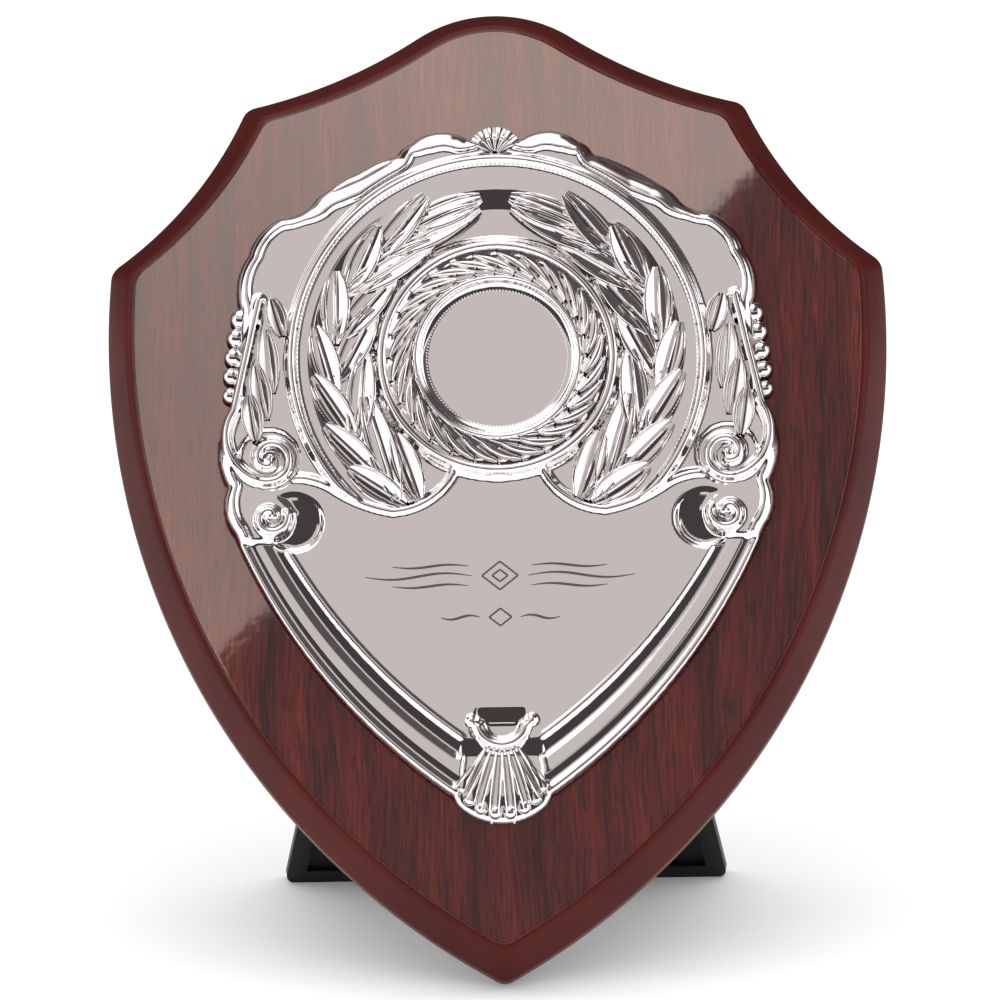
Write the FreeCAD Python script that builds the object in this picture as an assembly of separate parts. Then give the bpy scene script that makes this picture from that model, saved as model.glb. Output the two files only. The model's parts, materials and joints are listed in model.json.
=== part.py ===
"""Standing shield plaque: a bevelled board with a chrome front, on a folding strut.

Every piece is drawn with the board upright: X across, Z up the board from its point, the back face in
the plane Y = 0 and the front towards -Y. stand() then leans the whole object back onto its strut. The
finished part has +Z up, faces -Y and has its origin on the table, under the middle of its outer box.
"""
import FreeCAD, Part
import math
import os

from FreeCAD import Vector

# Stance
LEAN = 30.0                # board's lean back from upright, degrees
STRUT_OPEN = 44.8          # angle between strut and board when it stands, degrees

# Board
BOARD_HEIGHT = 177.8       # a 7-inch shield
CORE_THICK = 8.7
FOIL_THICK = 0.3
EDGE_WALL = 2.7            # square part of the edge, from the back
BEVEL_RUN = 3.5            # how far the bevel reaches in over the face
BACK_INSET = 1.0           # back foil stops this far inside the edge
CROWN_R = 25.0
SHOULDER_R = 91.0
FLANK_R = 71.5
SIDE_R = 134.5
NOTCH_HALF = 44.3          # corner between shoulder and flank: half its span, and its drop
NOTCH_DROP = 16.8          # below the crown
CORNER_HALF = 68.6         # corner between flank and side
CORNER_DROP = 46.4

# Chrome front
FRONT_DROP = 65.8          # middle of the wreath, below the crown
FRONT_THICK = 3.0
FRONT_SKIN = 1.2           # front wall over the hollow
HOLLOW_SCALE = 0.95        # the hollow's outline against the moulding's own
SEAT_R = 12.85             # recess for a 25 mm centre disc
SEAT_RING_WIDE = 2.45
SEAT_RING_RISE = 1.8
WREATH_WIDE = 4.3
WREATH_RISE = 1.2
FRAME_RING_R = 37.0
RIDGE_R = 1.3              # section radius of the round ridges
FRAME_RING_END = -22.0     # the frame ring stops at the engraving field
FRONT_TOP = 42.7           # crest of the top fan, above the wreath's middle
# Right half of the moulding's outline about the wreath's middle, as arcs: (point on the arc, end)
FRONT_ARCS = [
    ((2.4, 42.4), (4.3, 41.2)),        # top fan
    ((10.8, 42.6), (17.4, 38.4)),      # C-scroll
    ((28.6, 33.2), (38.0, 27.3)),      # leaf border
    ((43.9, 20.6), (46.2, 10.0)),      # shoulder
    ((49.0, 1.0), (48.4, -7.8)),       # bead column
    ((50.1, -15.0), (48.5, -22.6)),    # upper scroll
    ((49.3, -27.2), (47.2, -31.5)),    # side fan
    ((32.9, -56.6), (9.0, -79.8)),     # long lower sweep
    ((5.2, -83.4), (0.0, -84.6)),      # bottom shell
]
# Raised bosses: (x, z about the wreath's middle, radius, rise)
BOSSES = [
    (40.6, -18.0, 4.9, 1.9),
    (40.6, -28.8, 3.4, 1.6),
    (0.0, -66.5, 4.4, 1.9),
    (0.0, -76.5, 6.0, 1.9),
    (0.0, 40.0, 3.0, 1.6),
]

# Foam pads in the hollow: (x, z about the wreath's middle)
PAD_SIZE = (24.0, 10.0)
PAD_PLACES = [(-24.0, 10.0), (24.0, 10.0), (-18.0, -34.0), (18.0, -34.0)]

# Strut plate, hinge and keyhole
HINGE_Z = 90.0             # hinge axis, up the board
PLATE_THICK = 2.5
PLATE_HALF = 28.2
PLATE_BELOW = 5.0
PLATE_ABOVE = 34.0
PLATE_CORNER_R = 3.0
EAR_THICK = 3.0
EAR_PROUD = 0.4            # ears stand this far round the strut's barrel
PIN_R = 1.25
PIN_RUN_GAP = 0.05         # radial running clearance in the strut's bore
KEYHOLE_UP = 17.0          # keyhole's entry, above the hinge axis
KEYHOLE_R = 4.0
KEYHOLE_SLOT_HALF = 2.0
KEYHOLE_SLOT_RISE = 9.0
POCKET_DEPTH = 4.0         # room for the screw's head, in the board
POCKET_MARGIN = 1.5
SCREW_EDGE = 7.2           # screws in from the plate's sides
SCREW_UPS = [12.0, 28.0]   # above the hinge axis
SCREW_R = 1.5
SCREW_HEAD_R = 3.0
SCREW_HEAD_DEEP = 1.7
SCREW_LONG = 9.0
SCREW_TIP = 2.0
SCREW_GAP = 0.1
CROSS_WIDE = 0.7
CROSS_LONG = 3.2
CROSS_DEEP = 1.1

# Strut leg
FOOT_HALF = 39.75           # half the foot's width on the table
LEG_TAPER = 0.204          # sideways per unit of length, each side
LEG_THICK = 4.0
LEG_NECK_LONG = 7.4        # straight neck between the ears
LEG_SIDE_GAP = 0.5         # neck to ear
BARREL_R = 2.8
BARREL_GAP = 0.4           # barrel to plate
HEEL_RISE = 6.0
HEEL_DEEP = 4.4
STOP_GAP = 0.1             # heel to plate when open
PANEL_DEEP = 1.6
RIM_SIDE = 3.4
RIM_FOOT = 2.8
RIM_TOP = 6.0
FOOT_CORNER_R = 1.2

BACK_Y = FOIL_THICK                                   # outer face of the back foil
FACE_Y = -(CORE_THICK + FOIL_THICK)                   # outer face of the grain foil
PLATE_Y = BACK_Y + PLATE_THICK                        # outer face of the strut plate
HINGE_OFF = PLATE_Y + BARREL_GAP + BARREL_R           # hinge axis, behind the back face
HINGE = Vector(0, HINGE_OFF, HINGE_Z)
EAR_R = BARREL_R + EAR_PROUD
NECK_HALF = PLATE_HALF - EAR_THICK - LEG_SIDE_GAP
NOTCH = (NOTCH_HALF, BOARD_HEIGHT - NOTCH_DROP)
CORNER = (CORNER_HALF, BOARD_HEIGHT - CORNER_DROP)
FRONT_CENTRE_Z = BOARD_HEIGHT - FRONT_DROP
SEAT_RING_R = SEAT_R + SEAT_RING_WIDE
WREATH_R = SEAT_RING_R + WREATH_WIDE


def circle_meet(c1, r1, c2, r2, pick):
    """The point where two circles cross; pick chooses between the two by its largest value."""
    dx = c2[0] - c1[0]
    dz = c2[1] - c1[1]
    d = math.hypot(dx, dz)
    a = (r1 * r1 - r2 * r2 + d * d) / (2 * d)
    h = math.sqrt(r1 * r1 - a * a)
    mx = c1[0] + a * dx / d
    mz = c1[1] + a * dz / d
    return max([(mx - h * dz / d, mz + h * dx / d), (mx + h * dz / d, mz - h * dx / d)], key=pick)


CROWN_C = (0.0, BOARD_HEIGHT - CROWN_R)
SHOULDER_C = circle_meet(CROWN_C, CROWN_R + SHOULDER_R, NOTCH, SHOULDER_R, lambda p: p[1])
FLANK_C = circle_meet(NOTCH, FLANK_R, CORNER, FLANK_R, lambda p: p[0])
SIDE_C = circle_meet(CORNER, SIDE_R, (0.0, 0.0), SIDE_R, lambda p: -p[0])


def point_on(centre, radius, towards):
    """The point of a circle that lies towards another point."""
    dx = towards[0] - centre[0]
    dz = towards[1] - centre[1]
    d = math.hypot(dx, dz)
    return (centre[0] + radius * dx / d, centre[1] + radius * dz / d)


def half_outline(inset):
    """Right half of the shield, moved in by inset: crown first, then (point on the arc, end) pairs."""
    crown_r = CROWN_R - inset
    shoulder_r = SHOULDER_R + inset
    flank_r = FLANK_R + inset
    side_r = SIDE_R - inset
    crown = (0.0, CROWN_C[1] + crown_r)
    blend = point_on(CROWN_C, crown_r, SHOULDER_C)
    notch = circle_meet(SHOULDER_C, shoulder_r, FLANK_C, flank_r, lambda p: -p[1])
    corner = circle_meet(FLANK_C, flank_r, SIDE_C, side_r, lambda p: p[0])
    tip = (0.0, SIDE_C[1] - math.sqrt(side_r ** 2 - SIDE_C[0] ** 2))
    ends = [blend, notch, corner, tip]
    centres = [(CROWN_C, crown_r), (SHOULDER_C, shoulder_r), (FLANK_C, flank_r), (SIDE_C, side_r)]
    pairs = []
    start = crown
    for end, (centre, radius) in zip(ends, centres):
        middle = ((start[0] + end[0]) / 2, (start[1] + end[1]) / 2)
        pairs.append((point_on(centre, radius, middle), end))
        start = end
    return crown, pairs


def mirrored_wire(start, pairs, y):
    """A closed wire at depth y from the right half of a symmetric outline."""
    right = []
    left = []
    for via, end in pairs:
        points = [Vector(p[0], y, p[1]) for p in (start, via, end)]
        right.append(Part.Arc(*points).toShape())
        flipped = [Vector(-p.x, p.y, p.z) for p in reversed(points)]
        left.insert(0, Part.Arc(*flipped).toShape())
        start = end
    return Part.Wire(right + left)


def shield_wire(inset, y):
    start, pairs = half_outline(inset)
    return mirrored_wire(start, pairs, y)


def slab(wire, thick):
    """A flat plate from a wire, thickened towards +Y."""
    return Part.Face(wire).extrude(Vector(0, thick, 0))


def cylinder_y(x, y0, y1, z, radius):
    return Part.makeCylinder(radius, y1 - y0, Vector(x, y0, z), Vector(0, 1, 0))


def screw_places():
    """Middles of the plate's screws, as (x, z)."""
    x = PLATE_HALF - SCREW_EDGE
    return [(side * x, HINGE_Z + up) for side in (-1, 1) for up in SCREW_UPS]


def keyhole(y0, y1, margin):
    """The keyhole's shape, grown by margin, from depth y0 to y1: an entry circle and a slot above it."""
    z = HINGE_Z + KEYHOLE_UP
    half = KEYHOLE_SLOT_HALF + margin
    entry = cylinder_y(0, y0, y1, z, KEYHOLE_R + margin)
    slot = Part.makeBox(2 * half, y1 - y0, KEYHOLE_SLOT_RISE, Vector(-half, y0, z))
    end = cylinder_y(0, y0, y1, z + KEYHOLE_SLOT_RISE, half)
    return entry.fuse([slot, end]).removeSplitter()


def head_pocket(y0, y1):
    """Room in the board for a wall screw's head, all along the keyhole."""
    z = HINGE_Z + KEYHOLE_UP
    radius = KEYHOLE_R + POCKET_MARGIN
    bottom = cylinder_y(0, y0, y1, z, radius)
    run = Part.makeBox(2 * radius, y1 - y0, KEYHOLE_SLOT_RISE, Vector(-radius, y0, z))
    top = cylinder_y(0, y0, y1, z + KEYHOLE_SLOT_RISE, radius)
    return bottom.fuse([run, top]).removeSplitter()


def screw_body(x, z, grow):
    """A countersunk screw pointing into the board, grown all round by grow, with no drive recess."""
    head_r = SCREW_HEAD_R + grow
    shank_r = SCREW_R + grow
    head_y = PLATE_Y
    neck_y = head_y - SCREW_HEAD_DEEP - grow
    tip_y = head_y - SCREW_LONG - grow
    profile = [
        Vector(0, head_y, 0), Vector(head_r, head_y, 0), Vector(shank_r, neck_y, 0),
        Vector(shank_r, tip_y + SCREW_TIP, 0), Vector(0, tip_y, 0), Vector(0, head_y, 0),
    ]
    solid = Part.Face(Part.makePolygon(profile)).revolve(Vector(0, 0, 0), Vector(0, 1, 0), 360)
    solid.translate(Vector(x, 0, z))
    return solid


def shield_board():
    """MDF core: square edge at the back, then a long bevel up to the face."""
    core = slab(shield_wire(0.0, -EDGE_WALL), EDGE_WALL)
    bevel = Part.makeLoft([shield_wire(0.0, -EDGE_WALL), shield_wire(BEVEL_RUN, -CORE_THICK)], True, True)
    board = core.fuse(bevel)
    holes = [screw_body(x, z, SCREW_GAP) for x, z in screw_places()]
    holes.append(head_pocket(-POCKET_DEPTH, 0.0))
    return board.cut(holes)


def face_foil():
    """Printed grain sheet on the flat of the front."""
    return slab(shield_wire(BEVEL_RUN, FACE_Y), FOIL_THICK)


def back_foil():
    """Plain backing sheet, open over the keyhole's pocket and round the screws."""
    holes = [screw_body(x, z, SCREW_GAP) for x, z in screw_places()]
    holes.append(head_pocket(0.0, BACK_Y))
    return slab(shield_wire(BACK_INSET, 0.0), FOIL_THICK).cut(holes)


def front_wire(scale, y):
    """The moulding's outline at depth y, scaled about the middle of its height."""
    middle = FRONT_CENTRE_Z + (FRONT_TOP + FRONT_ARCS[-1][1][1]) / 2

    def place(point):
        return (point[0] * scale, middle + (FRONT_CENTRE_Z + point[1] - middle) * scale)

    pairs = [(place(via), place(end)) for via, end in FRONT_ARCS]
    return mirrored_wire(place((0.0, FRONT_TOP)), pairs, y)


def ridge_ring(radius):
    """A half-round ridge ring about the wreath's middle, on the moulding's flat front."""
    centre = Vector(0, FACE_Y - FRONT_THICK, FRONT_CENTRE_Z)
    return Part.makeTorus(radius, RIDGE_R, centre, Vector(0, 1, 0))


def chrome_front():
    """Hollow moulding: a thin shield with a centre recess, wreath ring, frame ring and bosses."""
    front_y = FACE_Y - FRONT_THICK
    body = slab(front_wire(1.0, front_y), FRONT_THICK)
    seat_y = front_y - SEAT_RING_RISE
    seat_ring = cylinder_y(0, seat_y, front_y, FRONT_CENTRE_Z, SEAT_RING_R)
    wreath = cylinder_y(0, front_y - WREATH_RISE, front_y, FRONT_CENTRE_Z, WREATH_R)
    below = Part.makeBox(120, 20, 80, Vector(-60, front_y - 10, FRONT_CENTRE_Z + FRAME_RING_END - 80))
    frame_ring = ridge_ring(FRAME_RING_R).cut(below)
    raised = [seat_ring, wreath, ridge_ring(WREATH_R + RIDGE_R), frame_ring]
    for x, z, radius, rise in BOSSES:
        for side in ([1] if x == 0 else [-1, 1]):
            raised.append(cylinder_y(side * x, front_y - rise, front_y, FRONT_CENTRE_Z + z, radius))
    body = body.fuse(raised)
    seat = cylinder_y(0, seat_y - 1, front_y, FRONT_CENTRE_Z, SEAT_R)
    hollow = slab(front_wire(HOLLOW_SCALE, front_y + FRONT_SKIN), FRONT_THICK - FRONT_SKIN)
    return body.cut([seat, hollow])


def tape_pads():
    """Foam adhesive pads between the board's face and the moulding's inside."""
    wide, high = PAD_SIZE
    deep = FRONT_THICK - FRONT_SKIN
    pads = []
    for x, z in PAD_PLACES:
        corner = Vector(x - wide / 2, FACE_Y - deep, FRONT_CENTRE_Z + z - high / 2)
        pads.append(Part.makeBox(wide, deep, high, corner))
    return Part.makeCompound(pads)


def ear(x0):
    """One hinge ear from the plate out round the pin."""
    block = Part.makeBox(EAR_THICK, HINGE_OFF - BACK_Y, 2 * EAR_R, Vector(x0, BACK_Y, HINGE_Z - EAR_R))
    eye = Part.makeCylinder(EAR_R, EAR_THICK, Vector(x0, HINGE_OFF, HINGE_Z), Vector(1, 0, 0))
    return block.fuse(eye)


def pin_rod(radius, half):
    return Part.makeCylinder(radius, 2 * half, Vector(-half, HINGE_OFF, HINGE_Z), Vector(1, 0, 0))


def strut_plate():
    """Moulded plate on the back: two ears for the pin, countersinks and the hanging keyhole."""
    high = PLATE_BELOW + PLATE_ABOVE
    low = HINGE_Z - PLATE_BELOW
    plate = Part.makeBox(2 * PLATE_HALF, PLATE_THICK, high, Vector(-PLATE_HALF, BACK_Y, low))
    corners = [e for e in plate.Edges if abs(e.BoundBox.YLength - PLATE_THICK) < 1e-6]
    plate = plate.makeFillet(PLATE_CORNER_R, corners)
    plate = plate.fuse([ear(-PLATE_HALF), ear(PLATE_HALF - EAR_THICK)])
    cuts = [screw_body(x, z, SCREW_GAP) for x, z in screw_places()]
    cuts.append(keyhole(BACK_Y, PLATE_Y, 0.0))
    cuts.append(pin_rod(PIN_R, PLATE_HALF + 1))
    return plate.cut(cuts).removeSplitter()


def plate_screws():
    """Countersunk wood screws with a cross recess."""
    screws = []
    for x, z in screw_places():
        solid = screw_body(x, z, 0.0)
        for wide, high in ((CROSS_WIDE, CROSS_LONG), (CROSS_LONG, CROSS_WIDE)):
            corner = Vector(x - wide / 2, PLATE_Y - CROSS_DEEP, z - high / 2)
            solid = solid.cut(Part.makeBox(wide, CROSS_DEEP, high, corner))
        screws.append(solid)
    return Part.makeCompound(screws)


def hinge_pin():
    """Steel wire through both ears, flush with their outsides."""
    return pin_rod(PIN_R, PLATE_HALF)


def leg_to_board(shape):
    """Swing a leg drawn straight down from the hinge out to its open angle."""
    shape.rotate(HINGE, Vector(1, 0, 0), STRUT_OPEN)
    return shape


def leg_length():
    """Hinge to table along the leg, when it stands."""
    height = HINGE_Z * math.cos(math.radians(LEAN)) - HINGE_OFF * math.sin(math.radians(LEAN))
    return height / math.cos(math.radians(STRUT_OPEN - LEAN))


def trapezoid(neck_z, foot_z, top_half, taper, y, thick):
    """A tapered plate that widens downwards."""
    foot_half = top_half + taper * (neck_z - foot_z)
    points = [(-top_half, neck_z), (top_half, neck_z), (foot_half, foot_z), (-foot_half, foot_z)]
    points.append(points[0])
    wire = Part.makePolygon([Vector(x, y, z) for x, z in points])
    return Part.Face(wire).extrude(Vector(0, thick, 0))


def strut_leg():
    """Tapered tray with a raised rim, a barrel on the pin and a heel that stops it on the plate."""
    front = HINGE_OFF - LEG_THICK / 2
    length = leg_length()
    foot_z = HINGE_Z - length
    neck_z = HINGE_Z - LEG_NECK_LONG
    spare = 6.0
    top_half = FOOT_HALF - LEG_TAPER * (length - LEG_NECK_LONG)
    tray = trapezoid(neck_z, foot_z - spare, top_half, LEG_TAPER, front, LEG_THICK)
    panel_top = neck_z - RIM_TOP
    panel_half = top_half + LEG_TAPER * RIM_TOP - RIM_SIDE
    panel = trapezoid(panel_top, foot_z + RIM_FOOT, panel_half, LEG_TAPER, front, PANEL_DEEP)
    neck = Part.makeBox(2 * NECK_HALF, LEG_THICK, LEG_NECK_LONG, Vector(-NECK_HALF, front, neck_z))
    barrel = pin_rod(BARREL_R, NECK_HALF)
    leg = leg_to_board(tray.fuse([neck, barrel]).cut(panel))
    heel_y = PLATE_Y + STOP_GAP
    heel = Part.makeBox(2 * NECK_HALF, HEEL_DEEP, HEEL_RISE, Vector(-NECK_HALF, heel_y, HINGE_Z))
    bore = pin_rod(PIN_R + PIN_RUN_GAP, NECK_HALF + 1)
    leg = leg.fuse(heel).cut(bore)
    # the foot is cut level with the table, and its two outer corners are rounded
    table = Part.makeBox(200, 200, 100, Vector(-100, -100, -100))
    leg = stand(leg).cut(table)
    corners = [e for e in leg.Edges if foot_corner(e)]
    return leg.makeFillet(FOOT_CORNER_R, corners)


def foot_corner(edge):
    """True for the short edges where the foot's ends meet the table."""
    box = edge.BoundBox
    return box.ZMax < 0.01 and box.YLength > 1 and abs(box.XMax) > FOOT_HALF - 2 and box.XLength < 2


def stand(shape):
    """Lean an upright piece back about the board's point, with the origin under the middle."""
    lean = math.radians(LEAN)
    face_tip = half_outline(BEVEL_RUN)[1][-1][1][1]
    front = FACE_Y * math.cos(lean) + face_tip * math.sin(lean)
    rear = BOARD_HEIGHT * math.sin(lean)
    turn = FreeCAD.Rotation(Vector(1, 0, 0), -LEAN)
    place = FreeCAD.Placement(Vector(0, -(front + rear) / 2, 0), turn)
    leaned = shape.copy()
    leaned.Placement = place.multiply(leaned.Placement)
    return leaned


PIECES = {
    "shield_board": lambda: stand(shield_board()),
    "face_foil": lambda: stand(face_foil()),
    "back_foil": lambda: stand(back_foil()),
    "chrome_front": lambda: stand(chrome_front()),
    "tape_pads": lambda: stand(tape_pads()),
    "strut_plate": lambda: stand(strut_plate()),
    "plate_screws": lambda: stand(plate_screws()),
    "hinge_pin": lambda: stand(hinge_pin()),
    "strut_leg": strut_leg,
}


def report_point(name, point):
    """Print where a point of the upright board ends up, in metres."""
    end = stand(Part.Vertex(point)).Point
    print(name, [round(v / 1000, 6) for v in end])


def main():
    os.makedirs("parts", exist_ok=True)
    for node, build in PIECES.items():
        shape = build()
        shape.exportStep("parts/" + node + ".step")
        print(node, len(shape.Solids), shape.isValid(), round(shape.Volume, 1))
    report_point("hinge", HINGE)
    report_point("keyhole", Vector(0, PLATE_Y, HINGE_Z + KEYHOLE_UP))
    report_point("centre seat", Vector(0, FACE_Y - FRONT_THICK, FRONT_CENTRE_Z))


main()
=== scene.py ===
import json
import math

import bmesh
import bpy
import numpy as np
from mathutils import Matrix, Vector
from mathutils.geometry import tessellate_polygon


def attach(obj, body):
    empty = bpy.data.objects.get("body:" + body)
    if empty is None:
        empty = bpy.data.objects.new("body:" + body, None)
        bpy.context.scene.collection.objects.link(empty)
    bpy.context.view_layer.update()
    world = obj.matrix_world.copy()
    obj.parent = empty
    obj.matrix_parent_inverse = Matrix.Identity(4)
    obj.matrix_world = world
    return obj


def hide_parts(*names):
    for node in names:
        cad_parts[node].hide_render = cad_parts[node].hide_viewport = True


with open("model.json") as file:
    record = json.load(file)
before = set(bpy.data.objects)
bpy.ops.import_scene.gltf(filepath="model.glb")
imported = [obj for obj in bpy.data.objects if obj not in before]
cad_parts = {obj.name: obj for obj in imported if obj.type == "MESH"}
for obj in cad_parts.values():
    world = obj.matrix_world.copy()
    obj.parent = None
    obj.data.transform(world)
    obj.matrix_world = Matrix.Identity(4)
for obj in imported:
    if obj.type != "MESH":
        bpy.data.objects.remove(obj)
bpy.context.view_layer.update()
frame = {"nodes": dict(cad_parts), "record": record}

BODY = "plaque"


# ---------------------------------------------- shield board
# The core: 9 mm MDF cut to the shield outline, its front edge routed to a long bevel and the whole edge
# sprayed in dark red-brown lacquer. Every piece is drawn on the upright board in millimetres (X across,
# Y back from the core's back face, Z up from the point) and leans with it about the centre seat.
BOARD_HIGH = 177.8
CORE_THICK = 8.7
FACE_Y = -9.0
EDGE_WALL = 2.7
CROWN_R = 25.0
SHOULDER_R = 91.0
FLANK_R = 71.5
SIDE_R = 134.5
NOTCH = (44.3, 161.0)
CORNER = (68.6, 131.4)
CORNER_SOFT = 1.7          # how far each corner's rounding runs along the edge
SEAT_Y = -12.0             # the centre seat on the upright board
SEAT_Z = 112.0

mounts = {mount["name"]: mount for mount in frame["record"]["mounts"]}
seat = Vector(mounts["centre_seat"]["pos_m"])
outward = Vector(mounts["centre_seat"]["axis"])
upward = Vector((0, outward.z, -outward.y))
foot = seat + outward * (SEAT_Y / 1000) - upward * (SEAT_Z / 1000)
LEANING = Matrix.Translation(foot) @ Matrix((
    (0.001, 0, 0, 0),
    (0, -outward.y / 1000, upward.y / 1000, 0),
    (0, -outward.z / 1000, upward.z / 1000, 0),
    (0, 0, 0, 1),
))


def ellipse(middle, reach, angles):
    """Points round a middle at the given angles, at a reach across and a reach up."""
    return [(middle[0] + reach[0] * math.cos(a), middle[1] + reach[1] * math.sin(a)) for a in angles]


def circle_meet(c1, r1, c2, r2, pick):
    """Where two circles cross; pick chooses between the two points by its largest value."""
    dx = c2[0] - c1[0]
    dz = c2[1] - c1[1]
    d = math.hypot(dx, dz)
    a = (r1 * r1 - r2 * r2 + d * d) / (2 * d)
    h = math.sqrt(r1 * r1 - a * a)
    mx = c1[0] + a * dx / d
    mz = c1[1] + a * dz / d
    return max([(mx - h * dz / d, mz + h * dx / d), (mx + h * dz / d, mz - h * dx / d)], key=pick)


CROWN_C = (0.0, BOARD_HIGH - CROWN_R)
SHOULDER_C = circle_meet(CROWN_C, CROWN_R + SHOULDER_R, NOTCH, SHOULDER_R, lambda p: p[1])
FLANK_C = circle_meet(NOTCH, FLANK_R, CORNER, FLANK_R, lambda p: p[0])
SIDE_C = circle_meet(CORNER, SIDE_R, (0.0, 0.0), SIDE_R, lambda p: -p[0])


def arc_between(centre, start, end, count, trim_start=0.0, trim_end=0.0):
    """Points on a circle's shorter arc from start to end, shortened by a length at either end."""
    radius = math.dist(centre, start)
    a0 = math.atan2(start[1] - centre[1], start[0] - centre[0])
    a1 = math.atan2(end[1] - centre[1], end[0] - centre[0])
    turn = (a1 - a0 + math.pi) % (2 * math.pi) - math.pi
    way = math.copysign(1, turn)
    a0 += way * trim_start / radius
    turn -= way * (trim_start + trim_end) / radius
    angles = [a0 + turn * i / (count - 1) for i in range(count)]
    return ellipse(centre, (radius, radius), angles)


def rounded_corner(before, corner, after, count=7):
    """Points of a soft corner, between the last point before it and the first after it."""
    points = []
    for i in range(1, count):
        t = i / count
        weights = ((1 - t) ** 2, 2 * t * (1 - t), t ** 2)
        points.append(tuple(sum(w * p[k] for w, p in zip(weights, (before, corner, after))) for k in (0, 1)))
    return points


def shield_ring(inset):
    """The shield's closed outline moved in by inset, clockwise from the crown, always as many points."""
    crown_r = CROWN_R - inset
    side_r = SIDE_R - inset
    crown = (0.0, CROWN_C[1] + crown_r)
    share = crown_r / (CROWN_R + SHOULDER_R)
    blend = tuple(CROWN_C[k] + (SHOULDER_C[k] - CROWN_C[k]) * share for k in (0, 1))
    notch = circle_meet(SHOULDER_C, SHOULDER_R + inset, FLANK_C, FLANK_R + inset, lambda p: -p[1])
    corner = circle_meet(FLANK_C, FLANK_R + inset, SIDE_C, side_r, lambda p: p[0])
    tip = (0.0, SIDE_C[1] - math.sqrt(side_r ** 2 - SIDE_C[0] ** 2))
    right = arc_between(CROWN_C, crown, blend, 14)[:-1]
    right += arc_between(SHOULDER_C, blend, notch, 22, 0, CORNER_SOFT)
    flank = arc_between(FLANK_C, notch, corner, 30, CORNER_SOFT, CORNER_SOFT)
    side = arc_between(SIDE_C, corner, tip, 90, CORNER_SOFT, CORNER_SOFT)
    right += rounded_corner(right[-1], notch, flank[0]) + flank
    right += rounded_corner(flank[-1], corner, side[0]) + side
    left = [(-x, z) for x, z in reversed(right[1:])]
    return right + rounded_corner(right[-1], tip, left[0], 8) + left


def put(name, data):
    """An object for some data, in the scene."""
    made = bpy.data.objects.new(name, data)
    bpy.context.scene.collection.objects.link(made)
    return made


def add_piece(name, points, faces, smooth=True):
    """A mesh object from points on the upright board, in millimetres, leant into its place."""
    mesh = bpy.data.meshes.new(name)
    mesh.from_pydata([tuple(p) for p in points], [], [tuple(f) for f in faces])
    mesh.transform(LEANING)
    mesh.validate()
    mesh.polygons.foreach_set("use_smooth", [smooth] * len(mesh.polygons))
    return put(name, mesh)


def rings_to_faces(rings, size):
    """Quads between neighbouring rings that have the same number of points."""
    return [
        (r * size + i, r * size + (i + 1) % size, (r + 1) * size + (i + 1) % size, (r + 1) * size + i)
        for r in range(rings - 1) for i in range(size)
    ]


def outward_faces(piece):
    """Turn a closed piece's faces so that they all point outwards."""
    edit = bmesh.new()
    edit.from_mesh(piece.data)
    bmesh.ops.recalc_face_normals(edit, faces=edit.faces)
    edit.to_mesh(piece.data)
    edit.free()


def add(tree, kind, inputs=None, **settings):
    """One node: settings are its properties; inputs are its sockets, each a value or a socket to link."""
    made = tree.nodes.new(kind)
    for key, value in settings.items():
        setattr(made, key, value)
    for key, value in (inputs or {}).items():
        if isinstance(value, bpy.types.NodeSocket):
            tree.links.new(value, made.inputs[key])
        else:
            made.inputs[key].default_value = value
    return made


def linear(code):
    """A linear RGBA colour from an sRGB hex code."""
    parts = [int(code[i:i + 2], 16) / 255 for i in (0, 2, 4)]
    return [p / 12.92 if p <= 0.04045 else ((p + 0.055) / 1.055) ** 2.4 for p in parts] + [1.0]


def start_material(name, values):
    """A material with one Principled shader; returns it, its tree, the shader and Object coordinates."""
    made = bpy.data.materials.new(name)
    made.use_nodes = True
    tree = made.node_tree
    tree.nodes.clear()
    shader = add(tree, "ShaderNodeBsdfPrincipled", values)
    add(tree, "ShaderNodeOutputMaterial", {"Surface": shader.outputs["BSDF"]})
    return made, tree, shader, add(tree, "ShaderNodeTexCoord").outputs["Object"]


def noise(tree, place, scale, detail):
    """A noise's value, 0 to 1; scale is in waves per metre."""
    made = add(tree, "ShaderNodeTexNoise", {"Vector": place, "Scale": scale, "Detail": detail})
    return made.outputs["Fac"]


def bumped(tree, height, strength, distance, sockets):
    """A bump from a height, linked to each of a shader's normal sockets."""
    bump = add(tree, "ShaderNodeBump", {"Height": height, "Strength": strength, "Distance": distance})
    for socket in sockets:
        tree.links.new(bump.outputs["Normal"], socket)


def tinted(tree, value, stops):
    """A colour ramp over a value, from (position, hex) stops."""
    node = add(tree, "ShaderNodeValToRGB", {"Fac": value})
    ramp = node.color_ramp
    while len(ramp.elements) < len(stops):
        ramp.elements.new(0.5)
    for element, (position, code) in zip(ramp.elements, stops):
        element.position = position
        element.color = linear(code)
    return node.outputs["Color"]


# Nitrocellulose lacquer sprayed over sealed MDF: no grain, a slightly rippled gloss and a little of the
# board's fuzz under it.
LACQUER_RIPPLE = 2.5       # mm between the crests of the orange peel

edge_lacquer, tree, shader, place = start_material("sprayed_edge_lacquer", {
    "Roughness": 0.4, "Specular IOR Level": 0.1, "Coat Weight": 0.1, "Coat Roughness": 0.15})
tint = tinted(tree, noise(tree, place, 55.0, 3.0), [(0.3, "41110e"), (0.7, "4e1713")])
tree.links.new(tint, shader.inputs["Base Color"])
ripple = noise(tree, place, 1000 / LACQUER_RIPPLE, 1.0)
bumped(tree, ripple, 0.25, 0.00006, (shader.inputs["Normal"], shader.inputs["Coat Normal"]))

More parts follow.
